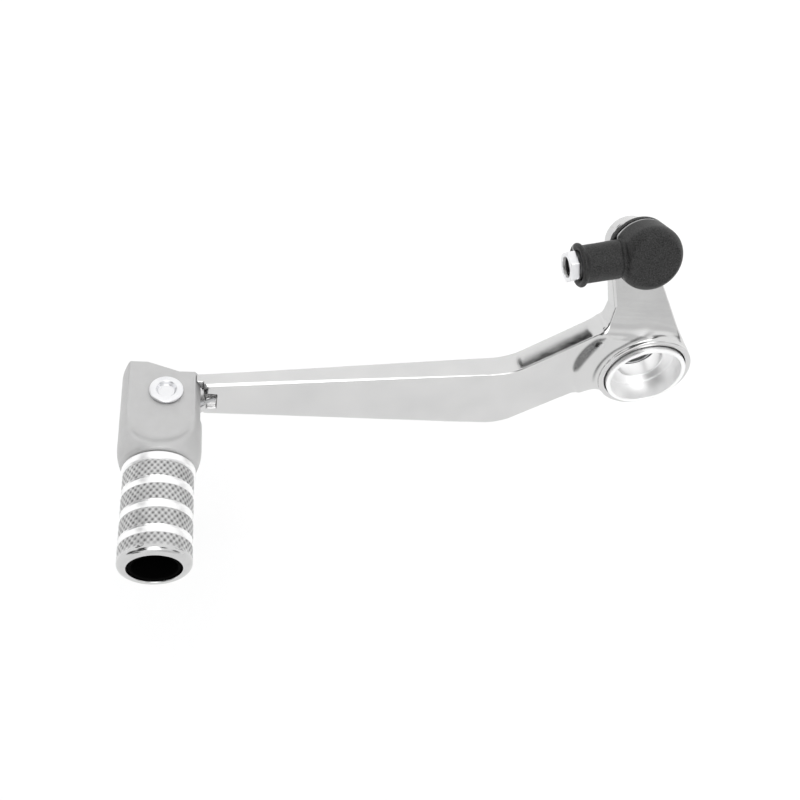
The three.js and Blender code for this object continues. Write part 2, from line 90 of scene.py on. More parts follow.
PIN = joint_place("toe_fold")
PIN_RADIUS = 3.5
PIN_BORE = 2.5
PIN_BORE_TOP = -2.0
PIN_FLANGE_RADIUS = 5.0
PIN_DIMPLE_RADIUS = 2.4
PIN_WASHER_RADIUS = 5.4
BLOCK_LOW, BLOCK_HIGH = node_box("toe_block")
SLEEVE_LOW, SLEEVE_HIGH = node_box("toe_sleeve")
PEG_X = (SLEEVE_LOW[0] + SLEEVE_HIGH[0]) / 2
PEG_Z = (SLEEVE_LOW[2] + SLEEVE_HIGH[2]) / 2
BLOCK_RADIUS = 12.0
BLOCK_SIDE = 11.2  # where the slanted corner leaves the block's side
BLOCK_SIDE_Y = 8.5
BLOCK_BACK = BLOCK_HIGH[1]
BLOCK_END = SLEEVE_HIGH[1] + GAP
SPIGOT_END = BLOCK_LOW[1]
SPIGOT_RADIUS = 6.7
NOSE_SLOPE = 0.42
FLAT_HALF = 6.9
FLAT_END_RADIUS = 10.0
FLAT_END_REACH = 16.0
SLOT_HALF = 3.4
TONGUE_RADIUS = 6.9
TONGUE_TOP = -0.2
TONGUE_BACK = 7.0

COLLAR_RADIUS = (SLEEVE_HIGH[0] - SLEEVE_LOW[0]) / 2
SLEEVE_RADIUS = COLLAR_RADIUS - 0.4
SLEEVE_TIP = SLEEVE_LOW[1]
SLEEVE_START = SLEEVE_HIGH[1]
COLLAR_END = BLOCK_END - 2.9
BAND_COUNT = 4
BAND_LENGTH = 5.45
GROOVE_LENGTH = 2.3
GROOVE_DEPTH = 0.5
RIM_LENGTH = 1.7
RIM_WIDTH = 2.1
SLEEVE_BORE = 7.4
COLLAR_EDGE = 0.7
BORE_EDGE = 0.4
CUP_FRONT = 0.5  # the cup's rim, floor and back, from the sleeve's tip
CUP_FLOOR = 8.6
CUP_BACK = 9.8
CUP_WALL = 0.9

ARM_TOE_X = PIN[0] + 10.9
ARM_BEND_X = -44.0
ARM_TOE_THICK = 5.9
ARM_BEND_THICK = 7.9
ARM_EDGE_TOE = 1.5  # the edge is rounder at the toe end and sharpens over a stretch of the arm
ARM_EDGE_BEND = 0.55
ARM_EDGE_START = -120.0
ARM_EDGE_RUN = 65.0
ARM_TOE_CORNER = 2.0
ARM_HOLLOW_GAP = 0.15
CROWN = 0.28
NOTCH_LENGTH = 4.2
NOTCH_UPPER_BACK = 4.6
NOTCH_LOWER_BACK = 1.4

HUB_RADIUS = 15.05
HUB_FRONT = -2.9
HUB_BACK = 9.5
COVE_TOP = -1.9
PAD_RADIUS = 22.3
PAD_INSET = 1.3
PAD_EDGE = 1.2
PAD_TOP = 12.0
PAD_FILLET = 2.2
HUB_FILLET = 4.0
CRANK_FILLET = 3.2
LIP_RADIUS = 13.25
LIP_BACK = 0.2
SEAL_GROOVE_RADIUS = 14.6
SEAL_GROOVE_Y = -0.45
SEAL_GROOVE_HALF = 0.95
LINER_SEAT = 13.7
LINER_SEAT_START = 0.5

BUSH_LOW, BUSH_HIGH = node_box("pivot_bush")
BUSH_RIM_RADIUS = BUSH_HIGH[0]
BUSH_FRONT = BUSH_LOW[1]
BUSH_BACK = BUSH_HIGH[1]
BUSH_RADIUS = 12.0
BUSH_BORE = 11.5
BUSH_FLOOR = 2.4
BUSH_STEP_FRONT = 0.5
BUSH_STEP_BACK = 0.9
BOLT_HOLE = 7.3
BUSH_WEB_BACK = 7.8
BACK_RECESS = 10.2
WAVE = 0.3
WAVE_COUNT = 3

BALL = joint_place("socket_swivel")
STUD_AXIS = np.array(JOINTS["socket_swivel"]["axis"])
TILT_AXIS = np.array(JOINTS["socket_tilt"]["axis"])
CRANK_FOOT_Z = 15.0
CRANK_UP = np.cross(STUD_AXIS, (1.0, 0.0, 0.0))
BALL_REACH = 10.2
EYE_X = BALL[0]
EYE_V = float(np.dot(BALL - STUD_AXIS * BALL_REACH - (0, 0, CRANK_FOOT_Z), CRANK_UP))
EYE_RADIUS = 7.0
EYE_THICK = 4.2
CRANK_THICK = 7.6
CRANK_EDGE = 0.9
STUD_RADIUS = 3.0
STUD_COLLAR_RADIUS = 5.6
STUD_COLLAR_THICK = 2.0
STUD_NECK_RADIUS = 2.7
STUD_WASHER_RADIUS = 5.2
WASHER_THICK = 1.0
BALL_RADIUS = 5.0
SHANK_RADIUS = 3.95
SHANK_HEX = 8.0
SHANK_LENGTH = 24.0
BEAD_END = 20.8
HEAD_RADIUS = 7.5
HEAD_TOP = 4.9
HEAD_BOTTOM = 3.2
THREAD_RADIUS = 2.5
THREAD_DEPTH = 0.4
THREAD_LENGTH = 12.0
CLIP_RADIUS = 6.0
CLIP_INNER = 5.3
CLIP_LEVEL = -1.9
CLIP_HALF = 0.4
BOOT_RADIUS = 9.4
BOOT_DOME_TOP = 7.2
BOOT_TOP = 6.4
BOOT_BOTTOM = 6.0
BOOT_DOME = 4.8
BOOT_MOUTH = 7.2
BOOT_GROOVE_LEVEL = -3.9
BOOT_GROOVE_HALF = 0.3
BOOT_GROOVE_DEPTH = 0.8
NECK_RADIUS = 5.45
NECK_TAPER = 0.3
NECK_TAPER_LENGTH = 14.0
BEAD_RADIUS = 0.75
BEAD_CENTRE = 5.55
CREASE_DEPTH = 0.5
CREASE_SPREAD = 0.25

# grid steps of the meshed fields
LEVER_GRID = 0.4
BLOCK_GRID = 0.32
SOCKET_GRID = 0.28
BOOT_GRID = 0.26


# ---- fields


def smooth_min(a, b, k):
    """The union of two fields with a fillet about k across."""
    h = np.clip(0.5 + 0.5 * (b - a) / k, 0.0, 1.0)
    return b + (a - b) * h - k * h * (1.0 - h)


def smooth_max(a, b, k):
    """The intersection of two fields with its edge rounded about k across."""
    return -smooth_min(-a, -b, k)


def rounded(a, b, radius):
    """The intersection of two fields with a true radius along its edge; radius can vary from point to point."""
    u, v = a + radius, b + radius
    outside = np.hypot(np.maximum(u, 0.0), np.maximum(v, 0.0))
    return np.minimum(np.maximum(u, v), 0.0) + outside - radius


def polygon(points, x, y):
    """Distance in a plane from a closed outline."""
    corners = np.asarray(points, float)
    nearest = np.full(x.shape, np.inf)
    inside = np.zeros(x.shape, bool)
    for (ax, ay), (bx, by) in zip(corners, np.roll(corners, -1, axis=0)):
        ex, ey = bx - ax, by - ay
        wx, wy = x - ax, y - ay
        t = np.clip((wx * ex + wy * ey) / (ex * ex + ey * ey), 0.0, 1.0)
        nearest = np.minimum(nearest, (wx - ex * t) ** 2 + (wy - ey * t) ** 2)
        if ey != 0.0:
            inside ^= ((ay > y) != (by > y)) & (wx < wy / ey * ex)
    return np.where(inside, -1.0, 1.0) * np.sqrt(nearest)


def arc(radius, start, end, steps=12):
    """Points of an arc about the origin, angles in degrees."""
    angles = np.radians(np.linspace(start, end, steps + 1))
    return [(radius * math.cos(a), radius * math.sin(a)) for a in angles]


def bend(start, corner, end, steps=12):
    """Points of a quadratic curve between two outline points."""
    start, corner, end = (np.array(p, float) for p in (start, corner, end))
    places = np.linspace(0, 1, steps + 1)
    return [tuple((1 - t) ** 2 * start + 2 * t * (1 - t) * corner + t * t * end) for t in places]


CORNERS = np.array([(i, j, k) for i in (0, 1) for j in (0, 1) for k in (0, 1)])
CUBE_EDGES = [(a, b) for a in range(8) for b in range(a + 1, 8) if abs(CORNERS[a] - CORNERS[b]).sum() == 1]


def sample(field, low, cells, step):
    """The field on a grid. Far from the surface only the sign is right, which is all that meshing needs there."""
    span = BLOCK * step
    centres = [low[a] + (np.arange(cells[a] // BLOCK) + 0.5) * span for a in range(3)]
    coarse_points = np.stack(np.meshgrid(*centres, indexing="ij"), -1)
    coarse = field(coarse_points.reshape(-1, 3)).reshape(coarse_points.shape[:3])
    values = coarse
    for axis in range(3):
        values = np.repeat(values, BLOCK, axis=axis)
    near = np.abs(values) < span * 1.1
    values = np.pad(values, ((0, 1), (0, 1), (0, 1)), mode="edge")
    near = np.pad(near, ((0, 1), (0, 1), (0, 1)), mode="edge")
    places = np.argwhere(near)
    values[near] = field(low + places * step)
    return values


def surface_net(field, low, high, step):
    """Vertices and quads of a field's zero level inside a box."""
    low = np.asarray(low, float) - 2 * step
    cells = (np.ceil((np.asarray(high) + 2 * step - low) / step / BLOCK) * BLOCK).astype(int)
    values = sample(field, low, cells, step)
    inside = values < 0
    count = sum(
        inside[i : i + cells[0], j : j + cells[1], k : k + cells[2]].astype(np.int8) for i, j, k in CORNERS
    )
    crossed = (count > 0) & (count < 8)
    places = np.argwhere(crossed)
    number = np.full(crossed.shape, -1)
    number[crossed] = np.arange(len(places))
    corner_values = np.stack([values[tuple((places + c).T)] for c in CORNERS], 1)
    total = np.zeros((len(places), 3))
    hits = np.zeros((len(places), 1))
    for a, b in CUBE_EDGES:
        va, vb = corner_values[:, a], corner_values[:, b]
        cut = (va < 0) != (vb < 0)
        t = np.where(cut, va / np.where(cut, va - vb, 1.0), 0.0)[:, None]
        total += (CORNERS[a] + t * (CORNERS[b] - CORNERS[a])) * cut[:, None]
        hits += cut[:, None]
    vertices = low + (places + total / hits) * step

    quads = []
    for axis in range(3):
        u, v = (axis + 1) % 3, (axis + 2) % 3
        lower = [slice(1, -1)] * 3
        upper = list(lower)
        lower[axis], upper[axis] = slice(0, -1), slice(1, None)
        first, second = inside[tuple(lower)], inside[tuple(upper)]
        for leaving in (True, False):
            edges = np.argwhere(first & ~second if leaving else ~first & second)
            edges[:, u] += 1
            edges[:, v] += 1
            ring = []
            for du, dv in ((-1, -1), (0, -1), (0, 0), (-1, 0)):
                cell = edges.copy()
                cell[:, u] += du
                cell[:, v] += dv
                ring.append(number[tuple(cell.T)])
            quads.append(np.stack(ring if leaving else ring[::-1], 1))
    return vertices, np.concatenate(quads)


def gradient(field, points, reach):
    slopes = []
    for axis in range(3):
        offset = np.zeros(3)
        offset[axis] = reach
        slopes.append((field(points + offset) - field(points - offset)) / (2 * reach))
    return np.stack(slopes, 1)


def mesh_from_arrays(name, vertices, faces, normals=None):
    """A mesh object from arrays in millimetres; faces can be triangles, quads or lists of either."""
    mesh = bpy.data.meshes.new(name)
    mesh.from_pydata((np.asarray(vertices) * MM).tolist(), [], [list(map(int, face)) for face in faces])
    mesh.shade_smooth()
    if normals is not None:
        mesh.normals_split_custom_set_from_vertices(np.asarray(normals).tolist())
    obj = bpy.data.objects.new(name, mesh)
    bpy.context.scene.collection.objects.link(obj)
    return obj


def solid_from_field(name, field, low, high, step):
    """Meshes a field, pulls its vertices onto the surface and takes their normals from the field."""
    vertices, faces = surface_net(field, low, high, step)
    for _ in range(3):
        slope = gradient(field, vertices, 0.2 * step)
        steepness = np.maximum((slope**2).sum(1, keepdims=True), 0.05)
        move = field(vertices)[:, None] * slope / steepness
        vertices -= np.clip(move, -0.4 * step, 0.4 * step)
    normals = gradient(field, vertices, 0.6 * step)
    normals /= np.maximum(np.linalg.norm(normals, axis=1, keepdims=True), 1e-9)
    return mesh_from_arrays(name, vertices, faces, normals)


# ---- turned and swept pieces


def basis(origin, along, across):
    """A frame at origin whose third axis is along and whose first is across, as columns."""
    along = np.asarray(along, float) / np.linalg.norm(along)
    across = np.asarray(across, float) - np.dot(across, along) * along
    across /= np.linalg.norm(across)
    return np.asarray(origin, float), np.stack([across, np.cross(along, across), along], 1)


def rounded_profile(profile, steps=4):
    """Replaces each corner that has a radius with an arc. A profile that starts on the axis is open there."""
    points = [np.array(p[:2], float) for p in profile]
    radii = [p[2] if len(p) > 2 else 0.0 for p in profile]
    open_ended = points[0][0] == 0.0
    result = []
    for i, (point, radius) in enumerate(zip(points, radii)):
        before, after = points[i - 1], points[(i + 1) % len(points)]
        if radius == 0.0 or (open_ended and i in (0, len(points) - 1)):
            result.append(point)
            continue
        to_before = (before - point) / np.linalg.norm(before - point)
        to_after = (after - point) / np.linalg.norm(after - point)
        half = math.acos(float(np.clip(np.dot(to_before, to_after), -1, 1))) / 2
        trim = min(radius / math.tan(half), 0.49 * np.linalg.norm(before - point), 0.49 * np.linalg.norm(after - point))
        start, end = point + to_before * trim, point + to_after * trim
        result.extend(np.array(p) for p in bend(start, point, end, steps))
    return np.array(result)


def lathe(name, profile, place, segments=96, steps=4):
    """A turned piece. Its profile runs so that the piece is on its left, seen with the radius to the right."""
    points = rounded_profile(profile, steps)
    area = np.sum(points[:, 0] * np.roll(points[:, 1], -1) - np.roll(points[:, 0], -1) * points[:, 1])
    if area < 0:
        points = points[::-1]
    open_ended = points[0][0] == 0.0
    origin, axes = place
    nexts = np.roll(points, -1, axis=0) - points
    lengths = np.linalg.norm(nexts, axis=1)
    if open_ended:
        lengths[-1] = 0.0
    outward = np.stack([nexts[:, 1], -nexts[:, 0]], 1) * lengths[:, None]
    slopes = outward + np.roll(outward, 1, axis=0)
    slopes /= np.maximum(np.linalg.norm(slopes, axis=1, keepdims=True), 1e-9)
    vertices, normals, rows = [], [], []
    angles = np.arange(segments) * 2 * math.pi / segments
    around = np.stack([np.cos(angles), np.sin(angles)], 1)
    for (radius, height), (out, up) in zip(points, slopes):
        start = len(vertices)
        if radius == 0.0:
            vertices.append(origin + axes[:, 2] * height)
            normals.append(axes[:, 2] * (1.0 if up > 0 else -1.0))
            rows.append([start] * segments)
            continue
        for c, s in around:
            vertices.append(origin + axes @ np.array([radius * c, radius * s, height]))
            normals.append(axes @ np.array([out * c, out * s, up]))
        rows.append(list(range(start, start + segments)))
    faces = []
    for i in range(1 if open_ended else 0, len(rows)):
        lower, upper = rows[i - 1], rows[i]
        for j in range(segments):
            k = (j + 1) % segments
            corners = [lower[j], lower[k], upper[k], upper[j]]
            faces.append([c for n, c in enumerate(corners) if c != corners[n - 1]])
    return mesh_from_arrays(name, vertices, faces, normals)


def ring(inner, outer, low, high, edge):
    """Profile of a flat ring with all its edges broken."""
    return [(inner, low, edge), (outer, low, edge), (outer, high, edge), (inner, high, edge)]


def sweep(name, path, radius, sides=16):
    """A round wire along a path that doesn't start along z, with its ends domed."""
    tangents = np.gradient(path, axis=0)
    tangents /= np.linalg.norm(tangents, axis=1, keepdims=True)
    side = np.cross(tangents[0], (0.0, 0.0, 1.0))
    rings = []
    for point, tangent in zip(path, tangents):
        side = side - np.dot(side, tangent) * tangent
        side /= np.linalg.norm(side)
        rings.append((point, tangent, side.copy(), radius))
    dome = [(radius * math.cos(a), radius * math.sin(a)) for a in np.radians([70, 40, 15])]
    start, start_tangent, start_side, _ = rings[0]
    end, end_tangent, end_side, _ = rings[-1]
    head = [(start - start_tangent * s, start_tangent, start_side, c) for c, s in dome]
    tail = [(end + end_tangent * s, end_tangent, end_side, c) for c, s in reversed(dome)]
    rings = head + rings + tail
    vertices, faces = [], []
    for point, tangent, across, size in rings:
        up = np.cross(tangent, across)
        for a in np.arange(sides) * 2 * math.pi / sides:
            vertices.append(point + size * (math.cos(a) * across + math.sin(a) * up))
    for i in range(0, (len(rings) - 1) * sides, sides):
        for j in range(sides):
            k = (j + 1) % sides
            faces.append([i + j, i + k, i + sides + k, i + sides + j])
    faces.append(list(range(sides))[::-1])
    faces.append([(len(rings) - 1) * sides + j for j in range(sides)])
    return mesh_from_arrays(name, vertices, faces)


# ---- materials


class Nodes:
    """A short way to write a material's nodes."""

    def __init__(self, name):
        self.material = bpy.data.materials.new(name)
        self.material.use_nodes = True
        self.tree = self.material.node_tree
        self.shader = self.tree.nodes["Principled BSDF"]
        self.place = self.add("ShaderNodeTexCoord").outputs["Object"]

    def add(self, kind, **inputs):
        node = self.tree.nodes.new(kind)
        for key, value in inputs.items():
            self.feed(node.inputs[key.replace("_", " ")], value)
        return node

    def feed(self, socket, value):
        if isinstance(value, bpy.types.NodeSocket):
            self.tree.links.new(value, socket)
        else:
            socket.default_value = value

    def noise(self, scale, detail=3.0, roughness=0.5, stretch=(1.0, 1.0, 1.0)):
        """Noise with features about 1/scale metres across; stretch squeezes it along each axis."""
        mapping = self.add("ShaderNodeMapping", Vector=self.place, Scale=stretch)
        place = mapping.outputs["Vector"]
        noise = self.add("ShaderNodeTexNoise", Vector=place, Scale=scale, Detail=detail, Roughness=roughness)
        return noise.outputs["Fac"]

    def spread(self, value, low, high, start=0.3, end=0.7):
        """Maps value from start..end to low..high."""
        node = self.tree.nodes.new("ShaderNodeMapRange")
        for index, number in enumerate((value, start, end, low, high)):
            self.feed(node.inputs[index], number)
        return node.outputs["Result"]

    def mix(self, factor, first, second):
        node = self.tree.nodes.new("ShaderNodeMix")
        node.data_type = "RGBA"
        self.feed(node.inputs["Factor"], factor)
        self.feed(node.inputs[6], first)
        self.feed(node.inputs[7], second)
        return node.outputs[2]

    def math(self, operation, *values):
        node = self.tree.nodes.new("ShaderNodeMath")
        node.operation = operation
        for socket, value in zip(node.inputs, values):
            self.feed(socket, value)
        return node.outputs[0]

    def attribute(self, name):
        node = self.tree.nodes.new("ShaderNodeAttribute")
        node.attribute_name = name
        return node.outputs["Fac"]

    def bump(self, *layers):
        """Stacks bump layers; each is (height, distance in metres, strength)."""
        normal = None
        for height, distance, strength in layers:
            node = self.add("ShaderNodeBump", Height=height, Distance=distance, Strength=strength)
            if normal is not None:
                self.feed(node.inputs["Normal"], normal)
            normal = node.outputs["Normal"]
        self.feed(self.shader.inputs["Normal"], normal)

    def surface(self, colour, roughness, metallic, **others):
        self.feed(self.shader.inputs["Base Color"], colour)
        self.feed(self.shader.inputs["Roughness"], roughness)
        self.feed(self.shader.inputs["Metallic"], metallic)
        for key, value in others.items():
            self.feed(self.shader.inputs[key.replace("_", " ")], value)
        return self.material


def grey(value, warm=0.0):
    return (value * (1 + warm), value, value * (1 - warm), 1.0)


def polished_aluminium():
    """Hand-polished forging: soft waves, faint lines along the arm and a few dull patches."""
    n = Nodes("polished_aluminium")
    patches = n.noise(60, detail=3)
    lines = n.noise(900, detail=2, stretch=(0.08, 1.0, 1.0))
    grain = n.noise(2600, detail=2)
    bright = n.mix(n.spread(patches, 0.0, 1.0), grey(0.60), grey(0.66, 0.004))
    # painted reflection: a dark crescent and arc in the hub's coves, broken up by the grain noise
    painted_reflection = n.math("MULTIPLY", n.attribute("painted_cove_reflection"), n.spread(grain, 0.7, 1.0))
    colour = n.mix(painted_reflection, bright, grey(0.1))
    roughness = n.math("ADD", n.spread(patches, 0.11, 0.19), n.spread(lines, 0.0, 0.05))
    n.bump((patches, 0.0004, 0.12), (lines, 0.00002, 0.3), (grain, 0.00001, 0.35))
    return n.surface(colour, roughness, 1.0)


def blasted_aluminium():
    """Bead-blasted: matte, with a fine even grain and slight mottling."""
    n = Nodes("blasted_aluminium")
    mottle = n.noise(180, detail=4, roughness=0.6)
    grain = n.noise(4200, detail=3, roughness=0.7)
    colour = n.mix(n.spread(mottle, 0.0, 1.0), grey(0.54, 0.002), grey(0.60, 0.001))
    roughness = n.spread(mottle, 0.55, 0.64)
    n.bump((mottle, 0.0002, 0.2), (grain, 0.00006, 0.6))
    return n.surface(colour, roughness, 0.85)


def knurled_aluminium():
    """Knurled bands with painted shade in the cuts, between turned, polished lands; the mesh carries where each is."""
    n = Nodes("knurled_aluminium")
    cut = n.attribute("knurl_cut")
    band = n.attribute("knurl_band")
    land = n.attribute("bright_land")
    wear = n.noise(260, detail=3)
    cut_shade_noise = n.noise(1500, detail=2, stretch=(1.0, 0.3, 1.0))
    turning = n.noise(5200, detail=1, stretch=(0.02, 1.0, 0.02))
    crest = n.mix(n.spread(wear, 0.0, 1.0), grey(0.58), grey(0.74))
    # painted shade: the knurl's cuts and their crossings are coloured near black, broken up by the stretched noise
    knurl = n.mix(n.math("MULTIPLY", cut, n.spread(cut_shade_noise, 0.75, 1.0)), crest, grey(0.08))
    rim = n.mix(n.spread(wear, 0.0, 1.0), grey(0.56), grey(0.62))
    colour = n.mix(land, n.mix(band, rim, knurl), grey(0.97))
    smooth = n.math("ADD", n.spread(land, 0.13, 0.32, 0.0, 1.0), n.spread(wear, 0.0, 0.06))
    roughness = n.math("ADD", n.math("MULTIPLY", band, 0.16), smooth)
    n.bump((turning, 0.00001, 0.25))
    return n.surface(colour, roughness, 1.0)


def bright_steel():
    """Turned steel with fine rings about the pivot axis."""
    n = Nodes("bright_steel")
    parts = n.add("ShaderNodeSeparateXYZ", Vector=n.place)
    squares = [n.math("POWER", parts.outputs[axis], 2.0) for axis in "XZ"]
    radius = n.math("SQRT", n.math("ADD", *squares))
    line = n.add("ShaderNodeCombineXYZ", X=radius)
    rings = n.add("ShaderNodeTexNoise", Vector=line.outputs["Vector"], Scale=9000.0, Detail=2.0)
    smear = n.noise(140, detail=3)
    colour = n.mix(n.spread(smear, 0.0, 1.0), grey(0.93), grey(0.98))
    roughness = n.math("ADD", n.spread(smear, 0.3, 0.38), n.spread(rings.outputs["Fac"], 0.0, 0.06))
    n.bump((rings.outputs["Fac"], 0.00001, 0.3), (smear, 0.0001, 0.08))
    return n.surface(colour, roughness, 1.0)


def zinc_plated_steel():
    """Bright zinc plate: nearly white, slightly cool, with a cloudy bloom."""
    n = Nodes("zinc_plated_steel")
    bloom = n.noise(300, detail=4, roughness=0.6)
    pits = n.noise(2400, detail=2)
    plate = n.mix(n.spread(bloom, 0.0, 1.0), (0.79, 0.795, 0.81, 1.0), (0.87, 0.87, 0.88, 1.0))
    # painted shade: the inside of the threaded bore is coloured dark grey
    colour = n.mix(n.attribute("painted_bore_shade"), plate, grey(0.3))
    roughness = n.spread(bloom, 0.26, 0.36)
    n.bump((bloom, 0.00005, 0.15), (pits, 0.00002, 0.25))
    return n.surface(colour, roughness, 1.0)


def spring_steel():
    n = Nodes("spring_steel")
    scale = n.noise(700, detail=3)
    lines = n.noise(3000, detail=1, stretch=(1.0, 1.0, 0.15))
    colour = n.mix(n.spread(scale, 0.0, 1.0), grey(0.40), grey(0.56, -0.02))
    n.bump((lines, 0.00001, 0.3), (scale, 0.00003, 0.2))
    return n.surface(colour, n.spread(scale, 0.24, 0.38), 1.0)


def bronze():
    n = Nodes("bronze")
    sinter = n.noise(1800, detail=3)
    tarnish = n.noise(150, detail=3)
    colour = n.mix(n.spread(tarnish, 0.0, 1.0), (0.50, 0.36, 0.20, 1.0), (0.63, 0.48, 0.28, 1.0))
    n.bump((sinter, 0.00003, 0.4))
    return n.surface(colour, n.spread(sinter, 0.3, 0.5), 1.0)


def moulded_rubber(name, value):
    """Moulded rubber with a grainy skin, a little dust and a painted highlight where the mesh marks an edge."""
    n = Nodes(name)
    skin = n.noise(2600, detail=4, roughness=0.75)
    mould = n.noise(320, detail=3)
    dust = n.noise(3600, detail=2)
    painted_highlight = n.attribute("painted_groove_highlight")
    base = n.mix(n.spread(skin, 0.0, 1.0), grey(value * 0.6), grey(value * 1.5))
    dusty = n.mix(n.spread(dust, 0.0, 0.6, 0.64, 0.74), base, grey(value * 5))
    # painted highlight: a pale line along the marked edge, broken up by the mould noise
    colour = n.mix(n.math("MULTIPLY", painted_highlight, n.spread(mould, 0.5, 1.0)), dusty, grey(0.8))
    roughness = n.spread(skin, 0.42, 0.6)
    n.bump((mould, 0.0002, 0.2), (skin, 0.00008, 0.6))
    return n.surface(colour, roughness, 0.0, Specular_IOR_Level=n.spread(skin, 0.15, 0.55, 0.35, 0.65))


def black_plastic():
    n = Nodes("black_plastic")
    texture = n.noise(2200, detail=3)
    colour = n.mix(n.spread(texture, 0.0, 1.0), grey(0.0006), grey(0.0016))
    n.bump((texture, 0.00003, 0.3))
    return n.surface(colour, n.spread(texture, 0.8, 0.95), 0.0, Specular_IOR_Level=0.03)


MATERIAL_MAKERS = (
    polished_aluminium,
    blasted_aluminium,
    knurled_aluminium,
    bright_steel,
    zinc_plated_steel,
    spring_steel,
    bronze,
    black_plastic,
)
MATERIALS = {make.__name__: make() for make in MATERIAL_MAKERS}
for rubber, tone in (("seal_rubber", 0.01), ("boot_rubber", 0.017)):
    MATERIALS[rubber] = moulded_rubber(rubber, tone)
NODE_SLOTS = {part["node"]: part["material_slot"] for part in frame["record"]["subparts"]}
NODE_BODIES = {node: body for body, nodes in frame["record"]["behaviour"]["bodies"].items() for node in nodes}


def stands_for(obj, node):
    """Gives a piece its node's material and body, and hides the node."""
    slot = NODE_SLOTS[node]
    obj.data.materials.append(MATERIALS[slot])
    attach(obj, NODE_BODIES[node])
    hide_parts(node)
    return obj


def store(obj, name, values):
    """Stores a number from 0 to 1 at each vertex, for the material to read."""
    obj.data.attributes.new(name, "FLOAT", "POINT").data.foreach_set("value", values.ravel().astype(np.float32))


def mark(obj, name, place, measure):
    """Stores what measure gives at each vertex, in the axes of a place."""
    points = np.empty(len(obj.data.vertices) * 3, np.float32)
    obj.data.vertices.foreach_get("co", points)
    store(obj, name, measure(*((points.reshape(-1, 3) / MM - place[0]) @ place[1]).T))


# ---- lever arm


ARM_OUTLINE = [
    (ARM_TOE_X - 3, -30.9),
    *bend((-47, -32), (-40.5, -32), (-36.5, -28.9)),
    *bend((-21.5, -16.5), (-17, -13), (-12, -10.7)),
    (-4, -8),
    (0, 10),
    (-6, CRANK_FOOT_Z),
    (-19.6, CRANK_FOOT_Z),
    *bend((-19.6, CRANK_FOOT_Z), (-29.8, 5.7), (-40, -3.2))[1:-1],
    *bend((-40, -3.2), (-43.9, -6.4), (-51, -6.9)),
    (ARM_TOE_X - 3, -17.1),
]
CRANK_OUTLINE = [
    (9.4, -5),
    (7.1, 0),
    (EYE_X + 7.5, EYE_V - 2.2),
    (EYE_X, EYE_V + 2),
    (EYE_X - 7.0, EYE_V - 3.4),
    (EYE_X - 4.8, EYE_V - 6.1),
    (-18.1, 8.5),
    (-18.6, 3),
    (-19.6, -1),
    (-9, -6.5),
]
TONGUE_OUTLINE = [
    (-TONGUE_RADIUS, 0),
    (4.43, -5.29),
    (11.9, 0.9),
    (14, 1.2),
    (14, TONGUE_BACK),
    (-TONGUE_RADIUS, TONGUE_BACK),
]


def crank_field(x, y, z):
    up = CRANK_UP[1] * y + CRANK_UP[2] * (z - CRANK_FOOT_Z)
    out = STUD_AXIS[1] * y + STUD_AXIS[2] * (z - CRANK_FOOT_Z)
    eye = np.hypot(x - EYE_X, up - EYE_V) - EYE_RADIUS
    side = smooth_min(polygon(CRANK_OUTLINE, x, up), eye, 1.5)
    rise = np.clip(up / (EYE_V - EYE_RADIUS), None, 1.0)
    thick = CRANK_THICK + (EYE_THICK - CRANK_THICK) * rise
    plate = np.maximum(out, -out - thick)
    hole = np.hypot(x - EYE_X, up - EYE_V) - STUD_RADIUS - GAP
    return smooth_max(rounded(side, plate, CRANK_EDGE), -hole, 0.4)


def arm_field(x, y, z):
    share = np.clip((x - ARM_TOE_X) / (ARM_BEND_X - ARM_TOE_X), 0, 1)
    thick = ARM_TOE_THICK + (ARM_BEND_THICK - ARM_TOE_THICK) * share
    sharpening = np.clip((x - ARM_EDGE_START) / ARM_EDGE_RUN, 0, 1)
    edge = ARM_EDGE_TOE + (ARM_EDGE_BEND - ARM_EDGE_TOE) * sharpening
    crown = CROWN * np.clip((2 * y - thick) / thick, -1, 1) ** 2
    arm = rounded(polygon(ARM_OUTLINE, x, z) + crown, np.maximum(-y, y - thick), edge)
    hollow = np.hypot(x - PEG_X, z - PEG_Z) - BLOCK_RADIUS - ARM_HOLLOW_GAP
    arm = smooth_max(arm, -hollow, 0.25)
    end = np.minimum(rounded(ARM_TOE_X - x, -y, ARM_TOE_CORNER), ARM_TOE_CORNER - y)
    return smooth_max(arm, end, 0.3)


def hub_bore(x, y, z):
    radius = np.hypot(x, z)
    lip = np.maximum(radius - LIP_RADIUS, y - LIP_BACK)
    groove = np.maximum(radius - SEAL_GROOVE_RADIUS, np.abs(y - SEAL_GROOVE_Y) - SEAL_GROOVE_HALF)
    seat = np.maximum(radius - LINER_SEAT, LINER_SEAT_START - y)
    return np.minimum(np.minimum(lip, groove), seat)


def tongue_field(x, y, z):
    across, along, height = x - PIN[0], y - PIN[1], z - PIN[2]
    plan = np.minimum(np.hypot(across, along) - TONGUE_RADIUS, polygon(TONGUE_OUTLINE, across, along))
    plan = np.maximum(plan, along - TONGUE_BACK)
    bottom = GAP - SLOT_HALF
    level = np.abs(height - (TONGUE_TOP + bottom) / 2) - (TONGUE_TOP - bottom) / 2
    return rounded(plan, level, 0.3)


def box_field(x, y, z, low, high):
    parts = [np.maximum(lo - v, v - hi) for v, lo, hi in zip((x, y, z), low, high)]
    return np.maximum(np.maximum(parts[0], parts[1]), parts[2])


